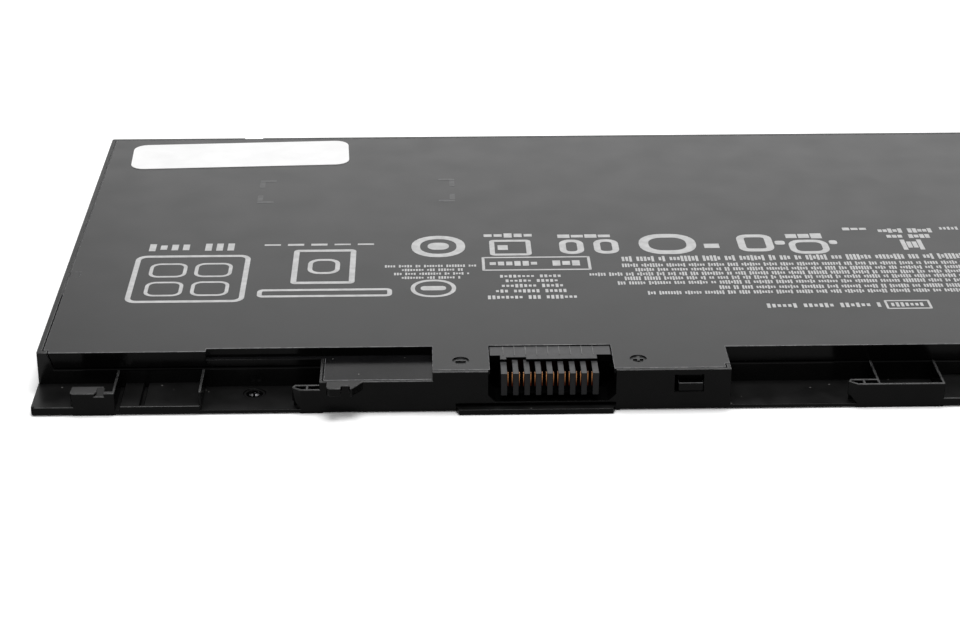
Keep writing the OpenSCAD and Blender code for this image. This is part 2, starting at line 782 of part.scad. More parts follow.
module top_cover() {
    color(cover_color) in_place() difference() {
        union() {
            cover_shell();
            cover_snap();
        }
        block([bay_left + bay_step, front_y - over, skirt_z - over],
            [bay_right - bay_step, bay_back, body_t + over]);
        block([rim_w, pry_y, body_t - pry_depth], [rim_w + pry_w, pry_y + pry_len, body_t + over]);
    }
}

module comb_ribs() {
    for (i = [0:contact_count]) {
        x = comb_x + i * contact_pitch;
        left = x - comb_rib_t / 2 - (i == 0 ? comb_end_extra : 0);
        right = x + comb_rib_t / 2 + (i == contact_count ? comb_end_extra : 0);
        block([left, comb_front, comb_bottom], [right, comb_back + plate_step, comb_top]);
        block([x - ridge_w / 2, comb_back + plate_step, plate_z - over],
            [x + ridge_w / 2, housing_back, plate_z + ridge_h]);
    }
}

module connector_housing() {
    left = bay_left + bay_step + plate_gap;
    right = bay_right - bay_step - plate_gap;
    comb_half = comb_rib_t / 2 + comb_end_extra;
    comb_left = comb_x - comb_half;
    comb_right = comb_x + contact_count * contact_pitch + comb_half;
    slot_half = (contact_pitch - comb_rib_t) / 2;
    base_top = comb_bottom + comb_base_t;
    color(housing_color) in_place() difference() {
        union() {
            block([left, comb_back + plate_step, plate_z - plate_t], [right, housing_back, plate_z]);
            block([left, housing_back - rear_wall, floor_t], [right, housing_back, plate_z]);
            block([comb_left, comb_back, bay_z], [comb_right, housing_back, plate_z]);
            block([comb_left, comb_front + comb_base_set, comb_bottom], [comb_right, comb_back, base_top]);
            comb_ribs();
        }
        block([slot_x(0) - slot_half, comb_back - over, comb_top],
            [comb_x + long_slots * contact_pitch, comb_back + slot_step, plate_z + over]);
        for (i = [0:contact_count - 1]) {
            x = slot_x(i);
            block([x - slot_half, comb_back - over, base_top], [x + slot_half, slot_back, comb_top]);
            block([x - tail_w / 2 - contact_gap, slot_back - over, board_top - contact_gap],
                [x + tail_w / 2 + contact_gap, housing_back + over, board_top + contact_t + contact_gap]);
        }
    }
}

// Fork with two tines whose tips stand up in front, a back web and a solder tail on the board
module contact(i) {
    x = slot_x(i);
    half = (contact_pitch - comb_rib_t) / 2 - contact_gap;
    top = comb_top - contact_gap;
    web_back = slot_back - contact_gap;
    web_y = web_back - contact_t;
    tip_y = comb_front + tine_set;
    tine_z = top - tine_h;
    color(copper_color) in_place() {
        for (left = [x - half, x + half - contact_t]) {
            block([left, tip_y, tine_z], [left + contact_t, tip_y + tine_tip_d, top]);
            block([left, tip_y, tine_z], [left + contact_t, web_back, tine_z + tine_arm_h]);
        }
        block([x - half, web_y, board_top], [x + half, web_back, top]);
        block([x - tail_w / 2, web_y, board_top],
            [x + tail_w / 2, board_y + tail_len, board_top + contact_t]);
    }
}

module blank_sticker() {
    color("white") in_place() translate([sticker_x, body_d - sticker_back, body_t])
        rotate([0, 0, sticker_turn]) linear_extrude(sticker_t)
            polygon(round_rect(-sticker_w / 2, -sticker_d / 2, sticker_w / 2, sticker_d / 2, sticker_r));
}

module cell(i) {
    x = cell_x(i);
    mid = tab_z + tab_metal_t / 2;
    color(pouch_color) in_place() {
        along_y(cell_y, cell_back)
            polygon(round_rect(x - cell_w / 2, cell_z, x + cell_w / 2, cell_top, cell_r));
        block([x - cell_w / 2 + cell_r, terrace_y, mid - terrace_t / 2],
            [x + cell_w / 2 - cell_r, cell_y + cell_r, mid + terrace_t / 2]);
    }
}

module metal_tab(i, side) {
    x = cell_x(i) + side * tab_metal_x;
    color(nickel_color) in_place()
        block([x - tab_metal_w / 2, tab_y, tab_z], [x + tab_metal_w / 2, terrace_y, tab_z + tab_metal_t]);
}

module nickel_strip(left, right) {
    color(nickel_color) in_place()
        block([left, strip_y, board_top], [right, strip_y + strip_w, board_top + strip_t]);
}

module link_strip(i) {
    reach = tab_metal_x - tab_metal_w / 2;
    nickel_strip(cell_x(i) + reach, cell_x(i + 1) - reach);
}

module protection_board() {
    color(board_color) in_place() difference() {
        block([board_x, board_y, board_z], [board_end, board_back, board_top]);
        for (x = boss_xs) translate([x, board_y + boss_y, 0]) cylinder(d = pin_d + 2 * pin_gap, h = body_t);
    }
}

// Moulded chip with legs along its two long sides, centred on x
module chip(x, size, legs) {
    half = size[0] / 2;
    reach = size[1] / 2;
    color(chip_color) in_place() translate([x, chip_y, board_top]) {
        block([-half, leg_len - reach, leg_t], [half, reach - leg_len, size[2]]);
        for (i = [0:legs - 1]) {
            leg_x = (i - (legs - 1) / 2) * size[0] / legs;
            block([leg_x - leg_w / 2, -reach, 0], [leg_x + leg_w / 2, reach, leg_t]);
        }
    }
}

// Plain small part in line with the chips, centred on x
module chip_part(x, size) {
    translate([x - size[0] / 2, chip_y - size[1] / 2, board_top]) cube(size);
}

module rod(from, to, d) {
    span = to - from;
    translate(from) rotate([0, acos(span[2] / norm(span)), atan2(span[1], span[0])])
        cylinder(d = d, h = norm(span));
}

module thermistor() {
    color(chip_color) in_place() rod([thermistor_x, thermistor_y, thermistor_z],
        [thermistor_x, thermistor_y + thermistor_len, thermistor_z], thermistor_d);
}

module thermistor_leads() {
    color(copper_color) in_place() for (x = [thermistor_x - lead_d, thermistor_x + lead_d])
        rod([x, board_back - thermistor_len / 2, board_top + lead_d],
            [x, thermistor_y - lead_d / 2, thermistor_z], lead_d);
}

// Flat pad over or under one cell
module cell_pad(i, low, high, tint) {
    half = cell_w / 2 - pad_margin;
    x = cell_x(i);
    color(tint) in_place()
        block([x - half, cell_y + pad_margin, low], [x + half, cell_back - pad_margin, high]);
}

module end_strip_negative() {
    x = cell_x(0);
    half = tab_metal_w / 2;
    nickel_strip(x - tab_metal_x - half, x + tab_metal_x - half - strip_space);
}

module end_strip_positive() {
    x = cell_x(cell_count - 1);
    half = tab_metal_w / 2;
    nickel_strip(x - tab_metal_x + half + strip_space, x + tab_metal_x + half);
}

module gauge_chip() {
    chip(gauge_x, gauge_size, gauge_legs);
}

module charge_switch() {
    chip(switch_x, switch_size, switch_legs);
}

module discharge_switch() {
    chip(switch_x + switch_space, switch_size, switch_legs);
}

module cutoff_fuse() {
    color(fuse_color) in_place() chip_part(fuse_x, fuse_size);
}

module sense_resistor() {
    color(resistor_color) in_place() chip_part(resistor_x, resistor_size);
}

module filter_capacitors() {
    color(capacitor_color) in_place() for (i = [0:capacitor_count - 1])
        chip_part(capacitor_x + i * capacitor_space, capacitor_size);
}

module board_insulator() {
    z = board_top + switch_h;
    color(sheet_color) in_place() block([board_x + sheet_margin, recess_d + skirt_t + sheet_gap, z],
        [board_end - sheet_margin, strip_y - sheet_gap, z + sheet_t]);
}

module cell_tape(i) {
    cell_pad(i, floor_t, cell_z, tape_color);
}

module foam_pad(i) {
    cell_pad(i, cell_top, seat_z - foam_gap, foam_color);
}

bottom_case();
top_cover();
connector_housing();
contact(0);  // contact_1
contact(1);  // contact_2
contact(2);  // contact_3
contact(3);  // contact_4
contact(4);  // contact_5
contact(5);  // contact_6
contact(6);  // contact_7
contact(7);  // contact_8
captive_screw(screw_x);  // captive_screw_left
captive_screw(body_w - screw_x);  // captive_screw_right
blank_sticker();
cell(0);  // cell_1
cell(1);  // cell_2
cell(2);  // cell_3
cell(3);  // cell_4
metal_tab(0, 1);  // positive_tab_1
metal_tab(1, 1);  // positive_tab_2
metal_tab(2, 1);  // positive_tab_3
metal_tab(3, 1);  // positive_tab_4
metal_tab(0, -1);  // negative_tab_1
metal_tab(1, -1);  // negative_tab_2
metal_tab(2, -1);  // negative_tab_3
metal_tab(3, -1);  // negative_tab_4
link_strip(0);  // link_strip_1
link_strip(1);  // link_strip_2
link_strip(2);  // link_strip_3
end_strip_positive();
end_strip_negative();
protection_board();
gauge_chip();
charge_switch();
discharge_switch();
cutoff_fuse();
sense_resistor();
filter_capacitors();
thermistor();
thermistor_leads();
board_insulator();
cell_tape(0);  // cell_tape_1
cell_tape(1);  // cell_tape_2
cell_tape(2);  // cell_tape_3
cell_tape(3);  // cell_tape_4
foam_pad(0);  // foam_pad_1
foam_pad(1);  // foam_pad_2
foam_pad(2);  // foam_pad_3
foam_pad(3);  // foam_pad_4
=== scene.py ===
import math
import random

import bpy
from mathutils import Matrix, Vector


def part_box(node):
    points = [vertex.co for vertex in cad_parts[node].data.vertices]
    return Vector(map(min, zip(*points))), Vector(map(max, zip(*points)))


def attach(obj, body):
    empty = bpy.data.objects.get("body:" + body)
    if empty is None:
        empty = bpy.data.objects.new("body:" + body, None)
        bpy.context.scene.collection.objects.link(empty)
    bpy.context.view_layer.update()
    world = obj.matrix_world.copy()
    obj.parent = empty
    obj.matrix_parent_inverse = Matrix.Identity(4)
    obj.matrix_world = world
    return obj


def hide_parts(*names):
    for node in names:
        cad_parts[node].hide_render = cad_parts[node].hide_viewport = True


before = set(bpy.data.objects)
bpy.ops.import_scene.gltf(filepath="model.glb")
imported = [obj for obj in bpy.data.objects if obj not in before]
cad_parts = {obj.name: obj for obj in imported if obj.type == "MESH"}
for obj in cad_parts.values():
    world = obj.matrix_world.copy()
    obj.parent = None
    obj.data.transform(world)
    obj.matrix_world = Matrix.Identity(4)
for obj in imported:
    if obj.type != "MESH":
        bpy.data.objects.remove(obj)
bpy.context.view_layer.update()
print("frame loaded:", len(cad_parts), "nodes")

mm = 0.001
panelDepth = 112.3  # mm from the main front face to the back edge
tongueFront = -9.6  # mm behind the main front face, so in front of it
caseLow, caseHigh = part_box("bottom_case")
panelCorner = Vector((caseLow.x, caseHigh.y - panelDepth * mm, caseHigh.z))
caseCorner = Vector((caseLow.x, panelCorner.y, caseLow.z))


# A point in metres from millimetres right of, behind and above the panel's front left corner
def onPanel(x, y, z=0):
    return panelCorner + Vector((x, y, z)) * mm


# Millimetres of a point right of the left side, behind the main front face and above the underside
def inMm(point):
    return (point - caseCorner) / mm


caseWide, caseTop = inMm(caseHigh).x, inMm(caseHigh).z
combLow, combHigh = (inMm(corner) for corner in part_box("connector_housing"))


def linearColor(hexText):
    channels = [int(hexText[i:i + 2], 16) / 255 for i in (1, 3, 5)]
    return [c / 12.92 if c <= 0.04045 else ((c + 0.055) / 1.055) ** 2.4 for c in channels] + [1]


# Adds one node; settings go to its inputs or its own properties, links go to its inputs
def addNode(tree, kind, settings=None, links=None):
    node = tree.nodes.new(kind)
    for key, value in (settings or {}).items():
        if isinstance(key, int) or key in node.inputs:
            node.inputs[key].default_value = value
        else:
            setattr(node, key, value)
    for key, source in (links or {}).items():
        tree.links.new(source, node.inputs[key])
    return node


# Empty material with its shader, and Object coordinates in metres for the patterns
def startMaterial(name, shaderSettings):
    material = bpy.data.materials.new(name)
    material.use_nodes = True
    tree = material.node_tree
    tree.nodes.clear()
    shader = addNode(tree, "ShaderNodeBsdfPrincipled", shaderSettings)
    addNode(tree, "ShaderNodeOutputMaterial", links={"Surface": shader.outputs["BSDF"]})
    coords = addNode(tree, "ShaderNodeTexCoord").outputs["Object"]
    return material, tree, shader, coords


noiseRange = {"From Min": 0.3, "From Max": 0.7}  # where most of a noise's values lie


# Noise whose grains are about grainMm wide, spread from low to high
def addGrain(tree, coords, grainMm, low, high, detail=2):
    noise = addNode(tree, "ShaderNodeTexNoise", {"Scale": 1 / (grainMm * mm), "Detail": detail},
                    {"Vector": coords})
    spread = addNode(tree, "ShaderNodeMapRange", {**noiseRange, "To Min": low, "To Max": high},
                     {"Value": noise.outputs["Fac"]})
    return spread.outputs["Result"]


# Mottled colour between two hex colours
def addMottle(tree, coords, grainMm, hexLow, hexHigh):
    share = addGrain(tree, coords, grainMm, 0, 1)
    low, high = linearColor(hexLow), linearColor(hexHigh)
    mix = addNode(tree, "ShaderNodeMix", {"data_type": "RGBA", 6: low, 7: high}, {"Factor": share})
    return mix.outputs[2]


def addBump(tree, shader, coords, grainMm, heightMm):
    grain = addGrain(tree, coords, grainMm, 0, 1, detail=3)
    bump = addNode(tree, "ShaderNodeBump", {"Distance": heightMm * mm, "Strength": 1}, {"Height": grain})
    tree.links.new(bump.outputs["Normal"], shader.inputs["Normal"])


# Scattered pale specks of dust on top of a colour
dustLook = {"spacingMm": 2.6, "speckMm": 0.24, "color": "#8c8b88"}


def addDust(tree, coords, tint):
    cells = addNode(tree, "ShaderNodeTexVoronoi", {"Scale": 1 / (dustLook["spacingMm"] * mm)},
                    {"Vector": coords})
    speckRadius = dustLook["speckMm"] / 2 / dustLook["spacingMm"]
    speck = addNode(tree, "ShaderNodeMath", {"operation": "LESS_THAN", 1: speckRadius},
                    {0: cells.outputs["Distance"]})
    mix = addNode(tree, "ShaderNodeMix", {"data_type": "RGBA", 7: linearColor(dustLook["color"])},
                  {"Factor": speck.outputs["Value"], 6: tint})
    return mix.outputs[2]


# Plastic, lacquer, paper, resin, ceramic or foam: mottled a little in colour and gloss, with a fine grain
def nonMetal(name, look):
    material, tree, shader, coords = startMaterial(name, {"Specular IOR Level": look.get("specular", 0.5)})
    tint = addMottle(tree, coords, look["mottleMm"], look["dark"], look["light"])
    if look.get("dusty"):
        tint = addDust(tree, coords, tint)
    tree.links.new(tint, shader.inputs["Base Color"])
    gloss = addGrain(tree, coords, look["mottleMm"], *look["roughness"])
    tree.links.new(gloss, shader.inputs["Roughness"])
    addBump(tree, shader, coords, look["grainMm"], look["grainHeightMm"])
    return material


# Metal: a slight colour drift and fine marks along one axis, as rolling or stamping leaves them.
# Where fadeHeights are given, the colour fades upwards from fadeColor between them.
def rolledMetal(name, look):
    material, tree, shader, coords = startMaterial(name, {"Metallic": 1.0})
    mapping = addNode(tree, "ShaderNodeMapping", {"Scale": look["stretch"]}, {"Vector": coords})
    stretch = mapping.outputs["Vector"]
    tint = addMottle(tree, stretch, look["markMm"], look["dark"], look["light"])
    if "fadeHeights" in look:
        foot, tip = look["fadeHeights"]
        height = addNode(tree, "ShaderNodeSeparateXYZ", links={"Vector": coords}).outputs["Z"]
        share = addNode(tree, "ShaderNodeMapRange", {"From Min": foot, "From Max": tip}, {"Value": height})
        fade = addNode(tree, "ShaderNodeMix", {"data_type": "RGBA", 6: linearColor(look["fadeColor"])},
                       {"Factor": share.outputs["Result"], 7: tint})
        tint = fade.outputs[2]
    tree.links.new(tint, shader.inputs["Base Color"])
    gloss = addGrain(tree, stretch, look["markMm"], *look["roughness"])
    tree.links.new(gloss, shader.inputs["Roughness"])
    addBump(tree, shader, stretch, look["markMm"], look["markHeightMm"])
    return material


# The case and cover are moulded PC and ABS, black all through, with the sheen of the mould's steel.
# Their darker copies below are painted shade, and their paler copies painted highlights, as each says.
# Finely eroded face of the labelled panel: an even satin that picks up the pale backdrop at a low angle
panelSatin = nonMetal("satinPanelPlastic", {
    "dark": "#141415", "light": "#191a1a", "mottleMm": 9, "roughness": (0.3, 0.35),
    "grainMm": 0.45, "grainHeightMm": 0.0025, "specular": 0.5})
# Lowered plateau beside the tongue: polished closer, so that the wall behind it shows as a dark band,
# and painted darker and less reflective than the panel as painted shade
shadedPlateauGloss = nonMetal("shadedPlateauPlastic", {
    "dark": "#0f0f10", "light": "#141415", "mottleMm": 7, "roughness": (0.14, 0.19),
    "grainMm": 0.6, "grainHeightMm": 0.002, "specular": 0.28, "dusty": True})
# Skirt, walls and front faces: smooth, and painted as a darker, hardly reflecting copy of the same black,
# painted shade that keeps the faces towards the viewer deep black
shadedWallBlack = nonMetal("shadedWallPlastic", {
    "dark": "#050505", "light": "#080808", "mottleMm": 6, "roughness": (0.12, 0.2),
    "grainMm": 0.8, "grainHeightMm": 0.002, "specular": 0.07})
# Case wall below the seam and face of the lip: the walls' black painted a little lighter and glossier,
# a painted sheen for the floor's light
litLipBlack = nonMetal("litLipPlastic", {
    "dark": "#070707", "light": "#0b0b0b", "mottleMm": 6, "roughness": (0.12, 0.2),
    "grainMm": 0.8, "grainHeightMm": 0.002, "specular": 0.17})
# Bottom of the seam groove and of the pockets, where no light gets in: painted near black as painted shade
paintedShadeBlack = nonMetal("paintedShadePlastic", {
    "dark": "#020202", "light": "#040404", "mottleMm": 4, "roughness": (0.5, 0.6),
    "grainMm": 0.6, "grainHeightMm": 0.002, "specular": 0.02})
# Upward faces of the flange: the same black with a duller gloss, dark near the wall behind them, and dusty
flangeBlack = nonMetal("semiGlossFlangePlastic", {
    "dark": "#0d0d0d", "light": "#131313", "mottleMm": 5, "roughness": (0.3, 0.39),
    "grainMm": 0.7, "grainHeightMm": 0.003, "specular": 0.4, "dusty": True})
# Tops of the ribs, hooks and brackets: the same black painted paler and more reflective, a painted
# highlight for the light their tops catch
paintedLitTop = nonMetal("paintedLitTopPlastic", {
    "dark": "#1e1e1f", "light": "#292929", "mottleMm": 2, "roughness": (0.26, 0.34),
    "grainMm": 0.6, "grainHeightMm": 0.003, "specular": 0.8})
# Rounded upper edges, painted lighter and mottled: a painted highlight along them
highlightEdgeBlack = nonMetal("highlightEdgePlastic", {
    "dark": "#1c1c1d", "light": "#484848", "mottleMm": 1.2, "roughness": (0.22, 0.32),
    "grainMm": 0.5, "grainHeightMm": 0.002, "specular": 0.5})
# The cover's own rim, painted paler still: a painted highlight, the bright hairline along its front edge
highlightRimBlack = nonMetal("highlightRimPlastic", {
    "dark": "#48484a", "light": "#767677", "mottleMm": 1.6, "roughness": (0.22, 0.32),
    "grainMm": 0.5, "grainHeightMm": 0.002, "specular": 0.8})
# Plain underside, spark eroded a little coarser than the panel
undersideSatin = nonMetal("satinUndersidePlastic", {
    "dark": "#121213", "light": "#18181a", "mottleMm": 12, "roughness": (0.42, 0.5),
    "grainMm": 0.6, "grainHeightMm": 0.006, "specular": 0.5})
# Glass filled nylon of the comb: a lighter, drier black on the faces that look up, rib tops among them,
# painted paler than its upright faces as a painted highlight
combNylon = nonMetal("glassFilledNylon", {
    "dark": "#303031", "light": "#4a4a4b", "mottleMm": 0.9, "roughness": (0.36, 0.5),
    "grainMm": 0.35, "grainHeightMm": 0.004, "specular": 0.5})
# The comb's upright faces: a darker copy of the same nylon, painted shade as on the walls
shadedCombNylon = nonMetal("shadedGlassFilledNylon", {
    "dark": "#101011", "light": "#18181a", "mottleMm": 1.4, "roughness": (0.4, 0.52),
    "grainMm": 0.35, "grainHeightMm": 0.004, "specular": 0.16})
# Fine ridges on the comb's top plate, painted pale as a painted highlight
paleRidgeHighlight = nonMetal("highlightRidgeNylon", {
    "dark": "#464647", "light": "#7a7a7a", "mottleMm": 0.8, "roughness": (0.36, 0.5),
    "grainMm": 0.35, "grainHeightMm": 0.004, "specular": 0.6})
print("plastics made")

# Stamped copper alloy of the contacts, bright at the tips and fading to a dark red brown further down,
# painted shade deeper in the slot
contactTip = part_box("contact_1")[1].z
contactCopper = rolledMetal("stampedCopperAlloy", {
    "dark": "#a8683c", "light": "#dca26c", "stretch": (1, 1, 4), "markMm": 0.5, "roughness": (0.22, 0.36),
    "markHeightMm": 0.002, "fadeColor": "#451a0c",
    "fadeHeights": (contactTip - 2.0 * mm, contactTip - 0.3 * mm)})
# Copper alloy of the contacts' rear arms, sides and lower parts, painted almost black as painted shade
# in the depth of the comb
shadedCopper = rolledMetal("shadedCopperAlloy", {
    "dark": "#120805", "light": "#241009", "stretch": (1, 1, 4), "markMm": 0.5, "roughness": (0.4, 0.55),
    "markHeightMm": 0.002})
# Steel of the sloped ring round the screw's recess, painted bright as painted glints
paintedGlintSteel = rolledMetal("paintedGlintSteel", {
    "dark": "#8e8e90", "light": "#b4b4b6", "stretch": (1, 1, 1), "markMm": 0.3, "roughness": (0.2, 0.34),
    "markHeightMm": 0.003})
# Black zinc plated screw steel, dark with sharp glints
screwSteel = rolledMetal("blackZincSteel", {
    "dark": "#1c1c1e", "light": "#3a3a3d", "stretch": (1, 1, 1), "markMm": 0.4, "roughness": (0.16, 0.3),
    "markHeightMm": 0.003})
# Embossed aluminium laminate of the pouches: soft silver with shallow dimples from the press
pouchFoil = rolledMetal("aluminiumLaminate", {
    "dark": "#a9acb0", "light": "#bfc2c6", "stretch": (1, 1, 1), "markMm": 3.5, "roughness": (0.38, 0.5),
    "markHeightMm": 0.02})
# Bare aluminium tab, rolled lengthways
tabMetal = rolledMetal("rolledAluminium", {
    "dark": "#b4b4b2", "light": "#c6c6c4", "stretch": (6, 1, 1), "markMm": 1.2, "roughness": (0.28, 0.4),
    "markHeightMm": 0.003})
# Rolled nickel, slightly yellower than the tabs
nickelStrip = rolledMetal("rolledNickel", {
    "dark": "#a39f94", "light": "#bab6aa", "stretch": (1, 6, 1), "markMm": 1.5, "roughness": (0.26, 0.38),
    "markHeightMm": 0.003})
# Drawn and tinned copper wire
leadCopper = rolledMetal("tinnedCopperWire", {
    "dark": "#a8744a", "light": "#c28c60", "stretch": (1, 1, 1), "markMm": 0.6, "roughness": (0.25, 0.4),
    "markHeightMm": 0.004})
# Coated paper of the sticker: bright white, faint fibre
stickerPaper = nonMetal("coatedWhitePaper", {
    "dark": "#f6f6f6", "light": "#fdfdfd", "mottleMm": 5, "roughness": (0.5, 0.62),
    "grainMm": 0.35, "grainHeightMm": 0.004, "specular": 0.3})
# Green solder lacquer over glass epoxy, glossy with the weave just felt
boardLacquer = nonMetal("greenSolderLacquer", {
    "dark": "#0b1f14", "light": "#11301e", "mottleMm": 2.5, "roughness": (0.2, 0.32),
    "grainMm": 0.6, "grainHeightMm": 0.006})
# Moulded epoxy of the chips, fine and dull
chipEpoxy = nonMetal("mouldedEpoxy", {
    "dark": "#141415", "light": "#1d1d1f", "mottleMm": 1.2, "roughness": (0.55, 0.68),
    "grainMm": 0.2, "grainHeightMm": 0.004})
# Fired ceramic of the fuse
fuseCeramic = nonMetal("firedCeramic", {
    "dark": "#c2a880", "light": "#d4bd96", "mottleMm": 1.2, "roughness": (0.4, 0.52),
    "grainMm": 0.25, "grainHeightMm": 0.004})
# Barium titanate body of the small capacitors
capacitorCeramic = nonMetal("capacitorCeramic", {
    "dark": "#8d7250", "light": "#a58863", "mottleMm": 0.8, "roughness": (0.36, 0.48),
    "grainMm": 0.2, "grainHeightMm": 0.003})
# Dipped resin bead
beadResin = nonMetal("dippedResin", {
    "dark": "#101011", "light": "#18181a", "mottleMm": 0.9, "roughness": (0.16, 0.26),
    "grainMm": 0.6, "grainHeightMm": 0.01})
# Pressed insulating paper, fibrous and buff
pressedPaper = nonMetal("pressedInsulatingPaper", {
    "dark": "#c8b888", "light": "#dccfa6", "mottleMm": 3, "roughness": (0.72, 0.86),
    "grainMm": 0.5, "grainHeightMm": 0.012, "specular": 0.3})
# Tissue tape: off-white, slightly tacky sheen
tissueTape = nonMetal("tissueTape", {
    "dark": "#dedbd0", "light": "#ebe9e0", "mottleMm": 4, "roughness": (0.5, 0.66),
    "grainMm": 0.6, "grainHeightMm": 0.01, "specular": 0.4})
# Closed-cell foam, its cut cells about half a millimetre wide
closedCellFoam = nonMetal("closedCellFoam", {
    "dark": "#1c1c1c", "light": "#303030", "mottleMm": 0.6, "roughness": (0.82, 0.95),
    "grainMm": 0.5, "grainHeightMm": 0.09, "specular": 0.2})
# Screen printed ink, pale grey and flat
panelInk = nonMetal("screenPrintedInk", {
    "dark": "#b9b9b9", "light": "#cdcdcd", "mottleMm": 1.5, "roughness": (0.5, 0.62),
    "grainMm": 0.3, "grainHeightMm": 0.003})
# The same ink where the corner marks are rubbed almost away
rubbedInk = nonMetal("rubbedInk", {
    "dark": "#3c3c3d", "light": "#616162", "mottleMm": 1.2, "roughness": (0.36, 0.48),
    "grainMm": 0.4, "grainHeightMm": 0.003})
print("metals, papers and resins made")

meshWork = {"mergeMm": 0.002, "flatDegrees": 0.5, "sharpDegrees": 40, "smoothDegrees": 35, "roundSegments": 3,
            "uprightTurn": 0.25}
# Where this much of its normal lies along an axis, a face counts as facing that way. A turn is a smaller share.
facing = 0.9


def deselectAll():
    if bpy.context.object and bpy.context.object.mode != "OBJECT":
        bpy.ops.object.mode_set(mode="OBJECT")
    bpy.ops.object.select_all(action="DESELECT")


def selectOnly(piece):
    deselectAll()
    piece.select_set(True)
    bpy.context.view_layer.objects.active = piece


# Copy of a CAD node's mesh with its loose triangles merged and its flat faces made whole
def mergedCopy(nodeName, pieceName):
    piece = bpy.data.objects.new(pieceName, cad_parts[nodeName].data.copy())
    bpy.context.scene.collection.objects.link(piece)
    piece.data.materials.clear()
    selectOnly(piece)
    bpy.ops.mesh.customdata_custom_splitnormals_clear()
    bpy.ops.object.mode_set(mode="EDIT")
    bpy.ops.mesh.select_all(action="SELECT")
    bpy.ops.mesh.remove_doubles(threshold=meshWork["mergeMm"] * mm)
    bpy.ops.mesh.dissolve_limited(angle_limit=math.radians(meshWork["flatDegrees"]))
    bpy.ops.object.mode_set(mode="OBJECT")
    return piece


def dressNode(piece, nodeName, materials):
    for material in materials:
        piece.data.materials.append(material)
    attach(piece, "root")
    if nodeName:
        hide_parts(nodeName)


# Gives the faces that test picks a material of the piece; with over, only faces that now wear one of those
def paintFaces(piece, material, test, over=None):
    worn = piece.data.materials
    for face in piece.data.polygons:
        if (over is None or worn[face.material_index] in over) and test(face):
            face.material_index = worn.find(material.name)


def applyModifiers(piece):
    selectOnly(piece)
    for modifier in list(piece.modifiers):
        bpy.ops.object.modifier_apply(modifier=modifier.name)


# Smooth rounds whose shading stays off the flat faces beside them
def keepFlatsFlat(piece):
    selectOnly(piece)
    bpy.ops.object.shade_smooth_by_angle(angle=math.radians(meshWork["smoothDegrees"]))
    bpy.ops.object.modifier_add(type="WEIGHTED_NORMAL")
    piece.modifiers[-1].keep_sharp = True
    piece.modifiers[-1].weight = 100
    applyModifiers(piece)


# Gives every sharp convex edge a bevel weight of 1; inner corners keep none
def weighConvexEdges(piece):
    mesh = piece.data
    faceOfSide = {}
    for face in mesh.polygons:
        corners = list(face.vertices)
        for first, second in zip(corners, corners[1:] + corners[:1]):
            faceOfSide[first, second] = face
    weights = mesh.attributes.new("bevel_weight_edge", "FLOAT", "EDGE")
    for edge in mesh.edges:
        first, second = edge.vertices
        one, other = faceOfSide.get((first, second)), faceOfSide.get((second, first))
        if not one or not other or one.normal.angle(other.normal, 0) < math.radians(meshWork["sharpDegrees"]):
            continue
        back = mesh.vertices[first].co - mesh.vertices[second].co
        if other.normal.cross(back).dot(one.normal) < 0:
            weights.data[edge.index].value = 1


# Rounds the outward edges. Rounds that look up take the material upper, and all others upright
def roundEdges(piece, widthMm, upper, upright, clamp=True):
    weighConvexEdges(piece)
    selectOnly(piece)
    bpy.ops.object.modifier_add(type="BEVEL")
    bevel = piece.modifiers[-1]
    bevel.width = widthMm * mm
    bevel.segments = meshWork["roundSegments"]
    bevel.limit_method = "WEIGHT"
    bevel.use_clamp_overlap = clamp
    bevel.material = piece.data.materials.find(upper.name)
    applyModifiers(piece)
    paintFaces(piece, upright, lambda face: face.normal.z < meshWork["uprightTurn"], over=[upper])
    keepFlatsFlat(piece)


# Cuts a tool shape out of the piece and removes the tool
def cutAway(piece, tool):
    selectOnly(piece)
    bpy.ops.object.modifier_add(type="BOOLEAN")
    boolean = piece.modifiers[-1]
    boolean.operation = "DIFFERENCE"
    boolean.solver = "EXACT"
    boolean.object = tool
    applyModifiers(piece)
    bpy.data.objects.remove(tool)


def addBlock(low, high):
    deselectAll()
    bpy.ops.mesh.primitive_cube_add(size=1, location=(low + high) / 2)
    block = bpy.context.object
    block.scale = high - low
    bpy.ops.object.transform_apply(location=True, rotation=False, scale=True)
    return block


def joinPieces(pieces, name):
    deselectAll()
    for piece in pieces:
        piece.select_set(True)
    bpy.context.view_layer.objects.active = pieces[0]
    bpy.ops.object.join()
    pieces[0].name = name
    return pieces[0]


# The cover. Faces more than plateauDrop below the panel are the plateau, and those more than skirtDrop below
# it are the skirt. Rounds below the panel take the lip's painted sheen from the first ledge distance behind
# the main front face to the second, and the walls' painted shade behind that. All in mm.
coverLook = {"round": 0.2, "plateauDrop": 0.5, "skirtDrop": 2.5, "ledge": (-0.6, 0.05)}
topCover = mergedCopy("top_cover", "topCover")
dressNode(topCover, "top_cover", [panelSatin, shadedWallBlack, highlightRimBlack, shadedPlateauGloss, litLipBlack])


def belowPanel(face):
    return inMm(face.center).z < caseTop - coverLook["plateauDrop"]


# The plateau takes the panel plastic's darker copy, as painted shade
paintFaces(topCover, shadedPlateauGloss, belowPanel)
# Upright faces and the skirt take the walls' painted shade
paintFaces(topCover, shadedWallBlack, lambda face: abs(face.normal.z) < facing
           or inMm(face.center).z < caseTop - coverLook["skirtDrop"])
# Rounds that look up take the rim's painted highlight, the others the walls' painted shade
roundEdges(topCover, coverLook["round"], highlightRimBlack, shadedWallBlack)
ledgeFront, ledgeBack = coverLook["ledge"]
paintFaces(topCover, litLipBlack, lambda face: belowPanel(face) and inMm(face.center).y > ledgeFront,
           over=[highlightRimBlack])
paintFaces(topCover, shadedWallBlack, lambda face: inMm(face.center).y > ledgeBack, over=[litLipBlack])

